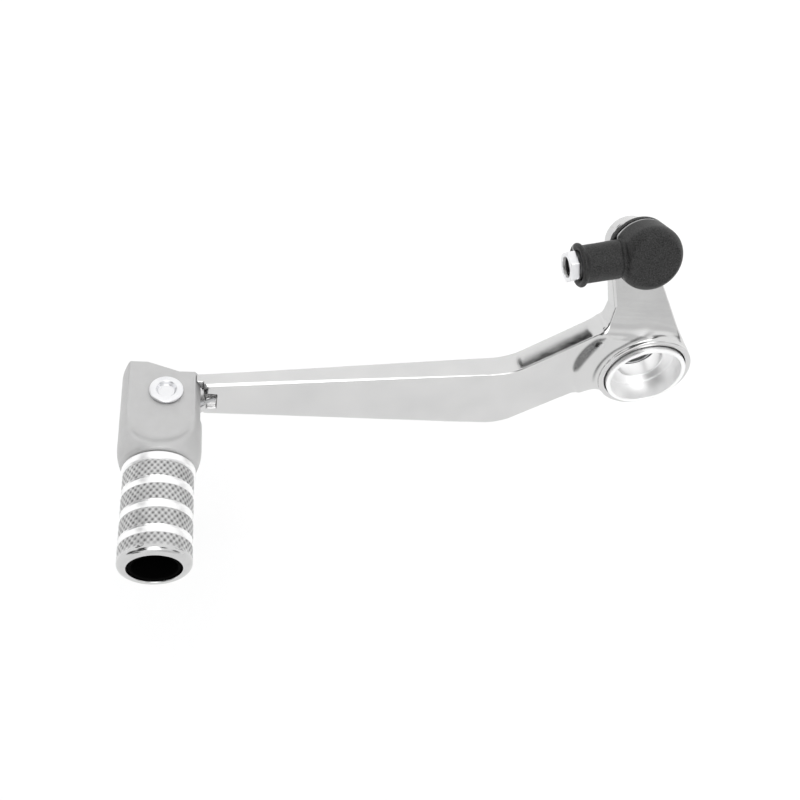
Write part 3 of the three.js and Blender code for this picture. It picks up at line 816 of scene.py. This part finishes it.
def lever_field(points):
    x, y, z = points.T
    radius = np.hypot(x, z)
    arm = arm_field(x, y, z)
    pad = rounded(radius - PAD_RADIUS, COVE_TOP - y, PAD_EDGE)
    pad = np.maximum(pad, polygon(ARM_OUTLINE, x, z) + PAD_INSET)
    pad = smooth_max(pad, z - PAD_TOP, 3)
    arm = smooth_min(arm, pad, PAD_FILLET)
    body = smooth_min(arm, smooth_max(radius - HUB_RADIUS + 0.3, y - HUB_BACK, 0.8), HUB_FILLET)
    body = smooth_max(body, y - HUB_BACK, 0.7)
    body = smooth_min(body, crank_field(x, y, z), CRANK_FILLET)
    body = smooth_max(body, COVE_TOP - y, 1.0)
    boss = smooth_max(radius - HUB_RADIUS, y - HUB_BACK + 1, 0.6)
    body = smooth_min(body, boss, 0.5)
    body = smooth_max(body, HUB_FRONT - y, 0.6)
    body = smooth_max(body, -hub_bore(x, y, z), 0.35)
    body = smooth_min(body, tongue_field(x, y, z), 0.6)
    pin_hole = np.hypot(x - PIN[0], y - PIN[1]) - PIN_RADIUS - GAP
    half, end, middle = SLOT_HALF - 0.2, ARM_TOE_X + NOTCH_LENGTH, PIN[2]
    upper = box_field(x, y, z, (ARM_TOE_X - 1, -1, middle), (end, NOTCH_UPPER_BACK, middle + half))
    lower = box_field(x, y, z, (ARM_TOE_X + 1, -1, middle - half), (end, NOTCH_LOWER_BACK, middle + 0.1))
    notch = np.minimum(upper, lower)
    return smooth_max(smooth_max(body, -pin_hole, 0.3), -notch, 0.35)


lever_low, lever_high = node_box("lever_arm")
lever_arm = solid_from_field("lever_forging", lever_field, lever_low, lever_high, LEVER_GRID)


def painted_cove_reflection(x, z, along):
    """Painted dark reflections in the coves on the outer side of the hub: a crescent round the pad and an arc just
    outside the boss.
    """
    radius, turn = np.hypot(x, z), np.degrees(np.arctan2(z, x)) % 360
    middle, half_turn, half_width = 166, 23, 1.7
    span = np.clip(1 - ((turn - middle) / half_turn) ** 2, 0, 1)
    outer = np.clip((half_width * np.sqrt(span) - np.abs(radius - PAD_RADIUS - 0.7)) / 0.8, 0, 1)
    start, stop, soft = 98, 205, 25
    fade = np.clip((turn - start) / soft, 0, 1) * np.clip((stop - turn) / soft, 0, 1)
    inner = fade * np.clip(1.3 - np.abs(radius - HUB_RADIUS - 1.4) / 0.5, 0, 1)
    outer_side = along < 1.5
    return np.maximum(outer, inner) * outer_side


mark(lever_arm, "painted_cove_reflection", (np.zeros(3), np.array([(1, 0, 0), (0, 0, 1), (0, 1, 0)])), painted_cove_reflection)
stands_for(lever_arm, "lever_arm")


# ---- pivot


PIVOT = basis((0, 0, 0), (0, 1, 0), (1, 0, 0))

bush = lathe(
    "pivot_bushing",
    [
        (BOLT_HOLE, BUSH_WEB_BACK, 0.3),
        (BOLT_HOLE, BUSH_FLOOR, 0.45),
        (BUSH_BORE, BUSH_FLOOR, 0.5),
        (BUSH_BORE, BUSH_FRONT, 0.35),
        (BUSH_RIM_RADIUS, BUSH_FRONT, 0.45),
        (BUSH_RIM_RADIUS, BUSH_STEP_FRONT, 0.2),
        (BUSH_RADIUS, BUSH_STEP_BACK, 0.2),
        (BUSH_RADIUS, BUSH_BACK, 0.3),
        (BACK_RECESS, BUSH_BACK, 0.3),
        (BACK_RECESS, BUSH_WEB_BACK, 0.3),
    ],
    PIVOT,
    segments=160,
    steps=6,
)
stands_for(bush, "pivot_bush")

liner_low, liner_high = node_box("bearing_liner")
stands_for(
    lathe("bearing_sleeve", ring(BUSH_RADIUS + GAP, LINER_SEAT - GAP, liner_low[1], liner_high[1], 0.2), PIVOT),
    "bearing_liner",
)


def round_ring(name, node):
    """A round-section rubber ring about the pivot that fills its CAD node's box."""
    low, high = node_box(node)
    wire = (high[1] - low[1]) / 2
    radius = high[0] - wire
    centre = (high[1] + low[1]) / 2
    profile = [(radius + r, centre + y) for r, y in arc(wire, 0, 360, 20)[:-1]]
    stands_for(lathe(name, profile, PIVOT), node)


round_ring("front_seal_ring", "outer_seal")
round_ring("rear_seal_ring", "inner_seal")

thrust_low, thrust_high = node_box("thrust_washer")
stands_for(
    lathe("rear_thrust_ring", ring(BOLT_HOLE + 0.2, thrust_high[0], thrust_low[1], thrust_high[1], 0.25), PIVOT, 128),
    "thrust_washer",
)


def wave_ring():
    """A spring washer pressed into waves."""
    low, high = node_box("wave_washer")
    half = (high[1] - low[1]) / 2 - WAVE
    centre = (high[1] + low[1]) / 2
    profile = ring(BOLT_HOLE + 0.4, high[0], centre - half, centre + half, 0.12)
    obj = lathe("wave_spring_ring", profile, PIVOT, 120)
    for vertex in obj.data.vertices:
        angle = math.atan2(vertex.co.z, vertex.co.x)
        vertex.co.y += WAVE * MM * math.cos(WAVE_COUNT * angle)
    return stands_for(obj, "wave_washer")


wave_ring()


# ---- toe peg


SLOT_RADIUS = TONGUE_RADIUS + GAP
SLOT_OUTLINE = [(-SLOT_RADIUS, 14), (-SLOT_RADIUS, 0), *arc(SLOT_RADIUS, 180, 265), (19.3, -8.9), (20, 14)]
BACK_CORNER = [(-5.2, BLOCK_BACK + 1), (-5.2, BLOCK_BACK), (3.6, 6.4), (20, 6.4), (20, BLOCK_BACK + 1)]


def block_field(points):
    x, y, z = points.T
    across, height = x - PEG_X, z - PEG_Z
    radius = np.hypot(across, height)
    middle, half = (BLOCK_BACK + BLOCK_END) / 2, (BLOCK_BACK - BLOCK_END) / 2
    body = rounded(radius - BLOCK_RADIUS, np.abs(y - middle) - half, 0.6)
    nose = (radius - COLLAR_RADIUS - 0.1) * 0.9 - (y - BLOCK_END) * NOSE_SLOPE
    body = smooth_max(body, nose, 1.6)
    corner = (PEG_X - BLOCK_SIDE - x + y - BLOCK_SIDE_Y) * math.sqrt(0.5)
    body = smooth_max(body, corner, 0.5)
    centre = BLOCK_END + FLAT_END_REACH
    runout = 0.3 + 1.3 * np.clip((centre + 1 - y) / 6, 0, 1)
    for side in (1, -1):
        lift = side * height - FLAT_HALF
        end = (np.hypot(across, np.minimum(y - centre, 0.0)) - FLAT_END_RADIUS - np.maximum(lift, 0.0)) * 0.7
        cutter = smooth_max(-lift, end, 1.1)
        body = smooth_max(body, -cutter, runout)
    plan = polygon(SLOT_OUTLINE, x - PIN[0], y - PIN[1])
    body = smooth_max(body, -np.maximum(plan, np.abs(height) - SLOT_HALF), 0.4)
    body = smooth_max(body, -polygon(BACK_CORNER, x - PIN[0], y), 0.8)
    body = smooth_max(body, PIN_RADIUS + GAP - np.hypot(x - PIN[0], y - PIN[1]), 0.4)
    spigot = np.maximum(radius - SPIGOT_RADIUS, np.maximum(SPIGOT_END - y, y - BLOCK_END - 1))
    return np.minimum(body, spigot)


toe_block = solid_from_field("toe_block_body", block_field, BLOCK_LOW, BLOCK_HIGH, BLOCK_GRID)
stands_for(toe_block, "toe_block")

PEG = basis((PEG_X, 0, PEG_Z), (0, 1, 0), (1, 0, 0))
KNURL_AROUND = 36
KNURL_PITCH = 2.06
KNURL_DEPTH = 0.2
KNURL_STEPS = 12


def knurl(turn, y):
    """Depth of two crossing families of cuts, shallow along each and 1 where two of them cross."""
    hands = []
    for hand in (1, -1):
        phase = turn * KNURL_AROUND + hand * y / KNURL_PITCH
        distance = np.abs(phase - np.round(phase)) * 2
        hands.append(np.clip(1.15 - distance / 0.8, 0, 1))
    return 0.3 * (hands[0] + hands[1]) + 0.4 * hands[0] * hands[1]


def sleeve_rows():
    """(radius, y, share of knurl) from the block to the tip, down the outside, then back up the bore."""
    rows = []

    def corner(start, middle, end):
        for radius, y in bend(start, middle, end, 5):
            rows.append((radius, y, 0.0))

    top = SLEEVE_START
    corner((COLLAR_RADIUS - COLLAR_EDGE, top), (COLLAR_RADIUS, top), (COLLAR_RADIUS, top - COLLAR_EDGE))
    corner((COLLAR_RADIUS, COLLAR_END + 0.5), (COLLAR_RADIUS, COLLAR_END + 0.1), (SLEEVE_RADIUS - 0.1, COLLAR_END))
    y = COLLAR_END
    step = KNURL_PITCH / KNURL_STEPS
    for number in range(BAND_COUNT):
        last = number == BAND_COUNT - 1
        length = y - SLEEVE_TIP - RIM_LENGTH if last else BAND_LENGTH
        count = int(round(length / step))
        for i in range(count + 1):
            t = i / count
            fade = min(1.0, t * 22, (1 - t) * (3.2 if last else 22))
            rows.append((SLEEVE_RADIUS - 0.12 * (fade < 0.01 and not last), y - length * t, fade))
        y -= length
        if number < BAND_COUNT - 1:
            floor = SLEEVE_RADIUS - GROOVE_DEPTH
            middle = y - GROOVE_LENGTH / 2
            for t in np.linspace(-1, 1, 9):
                rows.append((floor + 0.1 * abs(t) ** 3, middle + t * -(GROOVE_LENGTH / 2 - 0.12), 0.0))
            y -= GROOVE_LENGTH
    for angle in np.radians(np.linspace(0, 90, 12)[1:]):
        inward, forward = RIM_WIDTH * (1 - math.cos(angle)), RIM_LENGTH * (1 - math.sin(angle))
        rows.append((SLEEVE_RADIUS - inward, SLEEVE_TIP + forward, 0.0))
    corner((SLEEVE_BORE + BORE_EDGE, SLEEVE_TIP), (SLEEVE_BORE, SLEEVE_TIP), (SLEEVE_BORE, SLEEVE_TIP + BORE_EDGE))
    rows.append((SLEEVE_BORE, top - 0.3, 0.0))
    rows.append((SLEEVE_BORE + 0.3, top, 0.0))
    return np.array(rows)


def knurled_sleeve():
    rows = sleeve_rows()
    segments = KNURL_AROUND * KNURL_STEPS
    turn, y = np.meshgrid(np.arange(segments) / segments, rows[:, 1])
    share = np.repeat(rows[:, 2:], segments, axis=1)
    cut = knurl(turn, y - COLLAR_END) * share
    radius = rows[:, :1] - KNURL_DEPTH * cut
    angle = turn * 2 * math.pi
    vertices = np.stack([PEG_X + radius * np.cos(angle), y, PEG_Z + radius * np.sin(angle)], -1).reshape(-1, 3)
    index = np.arange(len(rows) * segments).reshape(len(rows), segments)
    below = np.roll(index, -1, axis=0)
    quads = np.stack([index, np.roll(index, -1, axis=1), np.roll(below, -1, axis=1), below], -1).reshape(-1, 4)
    obj = mesh_from_arrays("knurled_grip", vertices, quads)
    store(obj, "knurl_cut", cut)
    store(obj, "knurl_band", np.minimum(share * 1.5, 1.0))
    store(obj, "bright_land", (y > SLEEVE_TIP + 3) & (share < 0.01))
    return stands_for(obj, "toe_sleeve")


knurled_sleeve()

plug_radius = SLEEVE_BORE - GAP
stands_for(
    lathe(
        "grip_end_cup",
        [
            (0, SLEEVE_TIP + CUP_FLOOR),
            (plug_radius - CUP_WALL, SLEEVE_TIP + CUP_FLOOR, 0.8),
            (plug_radius - CUP_WALL, SLEEVE_TIP + CUP_FRONT, 0.3),
            (plug_radius, SLEEVE_TIP + CUP_FRONT, 0.3),
            (plug_radius, SLEEVE_TIP + CUP_BACK, 0.4),
            (0, SLEEVE_TIP + CUP_BACK),
        ],
        PEG,
    ),
    "grip_plug",
)

PIN_PLACE = basis(PIN, (0, 0, 1), (1, 0, 0))
pin_top = FLAT_HALF + GAP
pin_bottom = -FLAT_HALF - GAP - WASHER_THICK - GAP
stands_for(
    lathe(
        "hollow_hinge_pin",
        [
            (0, PIN_BORE_TOP),
            (PIN_BORE, PIN_BORE_TOP, 0.3),
            (PIN_BORE, pin_bottom - 0.9, 0.3),
            (4.5, pin_bottom - 0.9, 0.5),
            (4.8, pin_bottom, 0.3),
            (PIN_RADIUS, pin_bottom, 0.15),
            (PIN_RADIUS, pin_top, 0.15),
            (PIN_FLANGE_RADIUS, pin_top, 0.3),
            (PIN_FLANGE_RADIUS, pin_top + 0.75, 0.5),
            (3.9, pin_top + 1, 0.6),
            (3.0, pin_top + 0.95, 0.5),
            (PIN_DIMPLE_RADIUS, pin_top - 0.3, 0.5),
            (0, pin_top - 0.35),
        ],
        PIN_PLACE,
        steps=6,
    ),
    "toe_pin",
)
stands_for(
    lathe(
        "hinge_pin_washer",
        ring(PIN_RADIUS + GAP, PIN_WASHER_RADIUS, -pin_top - WASHER_THICK, -pin_top, 0.2),
        PIN_PLACE,
    ),
    "pin_washer",
)


def torsion_spring():
    """The return spring: a coil round the pin, then a straight leg into the arm's notch."""
    coil, turns, end_angle, wire = 4.75, 1.9, math.radians(-63), 0.6
    top, rise = 2.45, 1.3
    leg_x, leg_y = 14.2, 2.1
    route = []
    for t in np.linspace(0, 1, 70):
        angle = end_angle - (1 - t) * turns * 2 * math.pi
        route.append((coil * math.cos(angle), coil * math.sin(angle), top - rise * t))
    last = route[-1]
    for t in np.linspace(0, 1, 14)[1:]:
        route.append((last[0] + (leg_x - last[0]) * t, last[1] + (leg_y - last[1]) * t, last[2]))
    return stands_for(sweep("return_spring", np.array(route) + PIN, wire), "toe_spring")


torsion_spring()


# ---- ball joint


STUD = basis(BALL, STUD_AXIS, (1, 0, 0))
SOCKET_ACROSS = np.cross(TILT_AXIS, STUD_AXIS)
SOCKET = (BALL, np.stack([SOCKET_ACROSS, TILT_AXIS, STUD_AXIS], 1))


def stud_profile():
    """The stud in the crank's eye, its collar, a neck and the ball."""
    seat = -BALL_REACH + GAP + WASHER_THICK + GAP
    top = seat + STUD_COLLAR_THICK
    tip = -BALL_REACH - EYE_THICK + 0.4
    neck = math.degrees(math.asin(STUD_NECK_RADIUS / BALL_RADIUS))
    ball = [(BALL_RADIUS * math.sin(a), -BALL_RADIUS * math.cos(a)) for a in np.radians(np.linspace(neck, 180, 26))]
    ball[-1] = (0.0, BALL_RADIUS)
    stud = [(0, tip), (STUD_RADIUS, tip, 0.4), (STUD_RADIUS, seat, 0.2)]
    collar = [(STUD_COLLAR_RADIUS, seat, 0.3), (STUD_COLLAR_RADIUS, top, 0.4)]
    return [*stud, *collar, (STUD_NECK_RADIUS, top + 0.4, 0.5), *ball]


stands_for(lathe("ball_pin", stud_profile(), STUD, 64), "ball_stud")
washer_low = -BALL_REACH + GAP
stands_for(
    lathe(
        "ball_pin_washer",
        ring(STUD_RADIUS + GAP, STUD_WASHER_RADIUS, washer_low, washer_low + WASHER_THICK, 0.2),
        STUD,
        64,
    ),
    "stud_washer",
)


def socket_field(points):
    a, b, c = ((points - BALL) @ SOCKET[1]).T
    along = -a
    radial = np.hypot(b, c)
    plane = np.hypot(a, b)
    head = rounded(plane - HEAD_RADIUS, np.maximum(c - HEAD_TOP, -c - HEAD_BOTTOM), 0.8)
    shank = np.maximum(radial - SHANK_RADIUS, np.maximum(-along, along - SHANK_LENGTH + 0.6))
    flats = np.maximum(np.abs(c), np.abs(c) * 0.5 + np.abs(b) * math.sqrt(0.75)) - SHANK_HEX / 2
    hexagon = rounded(flats, np.maximum(BEAD_END + GAP - along, along - SHANK_LENGTH), 0.25)
    hexagon = smooth_max(hexagon, (radial - 4.35) * 0.8 + (along - SHANK_LENGTH) * 0.6, 0.3)
    body = np.minimum(smooth_min(head, shank, 1.0), hexagon)
    turn = np.arctan2(c, b) / (2 * math.pi)
    thread = np.abs((along - turn) - np.round(along - turn)) * 2
    depth = np.clip((SHANK_LENGTH - 0.9 - along) / 0.5, 0, 1)
    bore = np.maximum(radial - THREAD_RADIUS - THREAD_DEPTH * thread * depth, SHANK_LENGTH - THREAD_LENGTH - along)
    mouth_bevel = radial - 3.2 + (SHANK_LENGTH - along)
    seat = np.sqrt(a * a + b * b + c * c) - BALL_RADIUS - GAP
    mouth = np.maximum(plane - BALL_RADIUS - 0.25, c)
    clip_groove = np.maximum(plane - CLIP_RADIUS - GAP, np.abs(c - CLIP_LEVEL) - CLIP_HALF - GAP)
    for cutter in (bore, mouth_bevel, seat, mouth, clip_groove):
        body = smooth_max(body, -cutter, 0.25)
    return body


socket_low, socket_high = node_box("ball_socket")
socket = stands_for(solid_from_field("rod_socket", socket_field, socket_low, socket_high, SOCKET_GRID), "ball_socket")


def inside_bore(a, b, c):
    """Painted shade inside the threaded bore of the shank."""
    return ((np.hypot(b, c) < THREAD_RADIUS + 0.5) & (a < -8)) * 1.0


mark(socket, "painted_bore_shade", SOCKET, inside_bore)


def clip_ring():
    """A split ring of square wire in the socket's groove."""
    gap_half, middle = 0.8, (BALL_RADIUS + GAP + CLIP_RADIUS) / 2
    start = math.asin(gap_half / middle)
    low, high = CLIP_LEVEL - CLIP_HALF, CLIP_LEVEL + CLIP_HALF
    section = ((CLIP_INNER, low), (CLIP_RADIUS, low), (CLIP_RADIUS, high), (CLIP_INNER, high))
    origin, axes = SOCKET
    angles = np.linspace(start, 2 * math.pi - start, 60)
    vertices, faces = [], []
    for angle in angles:
        for radius, height in section:
            local = np.array([radius * math.cos(angle), radius * math.sin(angle), height])
            vertices.append(origin + axes @ local)
    for i in range(len(angles) - 1):
        for j in range(4):
            k = (j + 1) % 4
            faces.append([4 * i + j, 4 * i + 4 + j, 4 * i + 4 + k, 4 * i + k])
    faces.append([0, 1, 2, 3])
    end = 4 * (len(angles) - 1)
    faces.append([end + 3, end + 2, end + 1, end])
    obj = mesh_from_arrays("ball_clip", vertices, faces)
    obj.data.set_sharp_from_angle(angle=0.6)
    return stands_for(obj, "socket_clip")


clip_ring()


def boot_field(points):
    a, b, c = ((points - BALL) @ SOCKET[1]).T
    along = -a
    radial = np.hypot(b, c)
    plane = np.hypot(a, b)
    cap = rounded(plane - BOOT_RADIUS, c - BOOT_DOME_TOP, BOOT_DOME)
    cap = smooth_max(cap, c - BOOT_TOP, 0.15)
    cap = rounded(cap, -c - BOOT_BOTTOM, 0.6)
    groove = np.maximum(BOOT_RADIUS - BOOT_GROOVE_DEPTH - plane, np.abs(c - BOOT_GROOVE_LEVEL) - BOOT_GROOVE_HALF)
    cap = smooth_max(cap, -groove, 0.25)
    taper = NECK_RADIUS + NECK_TAPER * np.clip(1 - along / NECK_TAPER_LENGTH, 0, 1)
    neck = np.maximum(radial - taper, np.maximum(-along, along - BEAD_END + 0.5))
    bead = np.hypot(radial - BEAD_CENTRE, along - BEAD_END + BEAD_RADIUS) - BEAD_RADIUS
    crease = CREASE_DEPTH * np.exp(-(neck**2 + cap**2) / CREASE_SPREAD)
    boot = smooth_min(neck, cap, 0.2) + crease
    boot = smooth_min(boot, bead, 0.8)
    head_room = np.maximum(plane - HEAD_RADIUS - GAP, np.maximum(c - HEAD_TOP - GAP, -c - HEAD_BOTTOM - GAP))
    stud_room = np.maximum(plane - BOOT_MOUTH, c)
    shank_room = np.maximum(radial - SHANK_RADIUS - 0.35, -along)
    for cutter in (head_room, stud_room, shank_room):
        boot = smooth_max(boot, -cutter, 0.35)
    return boot


boot_low, boot_high = node_box("socket_boot")
boot = stands_for(solid_from_field("dust_boot", boot_field, boot_low, boot_high, BOOT_GRID), "socket_boot")


def painted_groove_highlight(a, b, c):
    """A painted highlight on the edge in front of the boot's groove."""
    front, width, skin = -3.35, 0.33, 0.4
    return np.exp(-(((c - front) / width) ** 2)) * (np.hypot(a, b) > BOOT_RADIUS - skin)


mark(boot, "painted_groove_highlight", SOCKET, painted_groove_highlight)


# ---- stage, light and camera


FLOOR_DROP = 0.10  # in metres, like the floor's size and the camera's place
FLOOR_SIZE = 6.0


def make_floor():
    mesh = bpy.data.meshes.new("floor")
    half = FLOOR_SIZE / 2
    z = CAD_BOX[0][2] - FLOOR_DROP
    mesh.from_pydata([(-half, -half, z), (half, -half, z), (half, half, z), (-half, half, z)], [], [(0, 1, 2, 3)])
    floor = bpy.data.objects.new("floor", mesh)
    bpy.context.scene.collection.objects.link(floor)
    n = Nodes("floor")
    tone = n.noise(6, detail=2)
    mesh.materials.append(n.surface(n.mix(tone, grey(0.93), grey(0.94)), 0.9, 0.0, Specular_IOR_Level=0.0))


SKY = 1.12
# direction the patch is seen in, half width in degrees, softness in degrees, brightness
SKY_PATCHES = [
    ((0.44, -0.90, 0.0), 18, 16, 0.8),  # the dimmer side of the room
    ((-0.03, -0.33, 0.94), 12, 6, 2.6),  # overhead softbox
    ((-0.04, -0.76, 0.65), 12, 8, 2.6),  # front softbox
    ((-0.58, -0.30, 0.75), 11, 5, 0.03),  # gaps either side of the overhead softbox
    ((0.40, -0.32, 0.86), 8, 5, 0.1),
    ((-0.54, -0.66, 0.52), 11, 6, 0.05),  # the camera's own dark shape
    ((-0.86, -0.42, 0.24), 12, 6, 0.04),  # openings in the tent
    ((-0.60, -0.79, 0.04), 9, 5, 0.08),
    ((0.81, -0.46, 0.32), 9, 5, 0.2),
    ((-0.585, 0.58, 0.565), 5.2, 1, 0.0),  # dark cards behind, which show on the slope of the arm
    ((-0.70, 0.43, 0.575), 8, 1, 0.0),
]


def make_sky():
    """A white tent with dark cards and two softboxes, as smooth patches of the surrounding light.

    The patches light the lever and show in its gloss, and the backdrop behind it stays plain.
    """
    world = bpy.data.worlds.new("studio")
    bpy.context.scene.world = world
    world.use_nodes = True
    add, link = world.node_tree.nodes.new, world.node_tree.links.new

    def blend(share, first, second):
        mix = add("ShaderNodeMix")
        link(share, mix.inputs[0])
        link(first, mix.inputs[2])
        mix.inputs[3].default_value = second
        return mix.outputs[0]

    direction = add("ShaderNodeTexCoord").outputs["Generated"]
    level = add("ShaderNodeValue").outputs[0]
    level.default_value = SKY
    for towards, width, softness, brightness in SKY_PATCHES:
        dot = add("ShaderNodeVectorMath")
        dot.operation = "DOT_PRODUCT"
        link(direction, dot.inputs[0])
        dot.inputs[1].default_value = Vector(towards).normalized()
        fade = add("ShaderNodeMapRange")
        fade.interpolation_type = "SMOOTHSTEP"
        link(dot.outputs["Value"], fade.inputs[0])
        fade.inputs[1].default_value = math.cos(math.radians(width + softness))
        fade.inputs[2].default_value = math.cos(math.radians(width))
        level = blend(fade.outputs[0], level, brightness)
    level = blend(add("ShaderNodeLightPath").outputs["Is Camera Ray"], level, SKY)
    background = world.node_tree.nodes["Background"]
    link(level, background.inputs["Strength"])
    background.inputs["Color"].default_value = (1, 1, 1, 1)


CAMERA_PLACE = (-0.1453, -0.1789, 0.1984)
CAMERA_RIGHT = (0.97161, -0.12704, 0.19958)
CAMERA_FORWARD = (0.23502, 0.61493, -0.75274)
CAMERA_LENS = 40.514
CAMERA_SENSOR = 36.0
CAMERA_NEAR = 0.005


def make_camera():
    data = bpy.data.cameras.new("camera")
    data.lens = CAMERA_LENS
    data.sensor_width = CAMERA_SENSOR
    data.clip_start = CAMERA_NEAR
    camera = bpy.data.objects.new("camera", data)
    right = Vector(CAMERA_RIGHT).normalized()
    back = -Vector(CAMERA_FORWARD).normalized()
    up = back.cross(right).normalized()
    right = up.cross(back)
    turn = Matrix((right, up, back)).transposed().to_4x4()
    camera.matrix_world = Matrix.Translation(CAMERA_PLACE) @ turn
    bpy.context.scene.collection.objects.link(camera)
    bpy.context.scene.camera = camera


make_floor()
make_sky()
make_camera()
bpy.context.scene.view_settings.view_transform = "Standard"
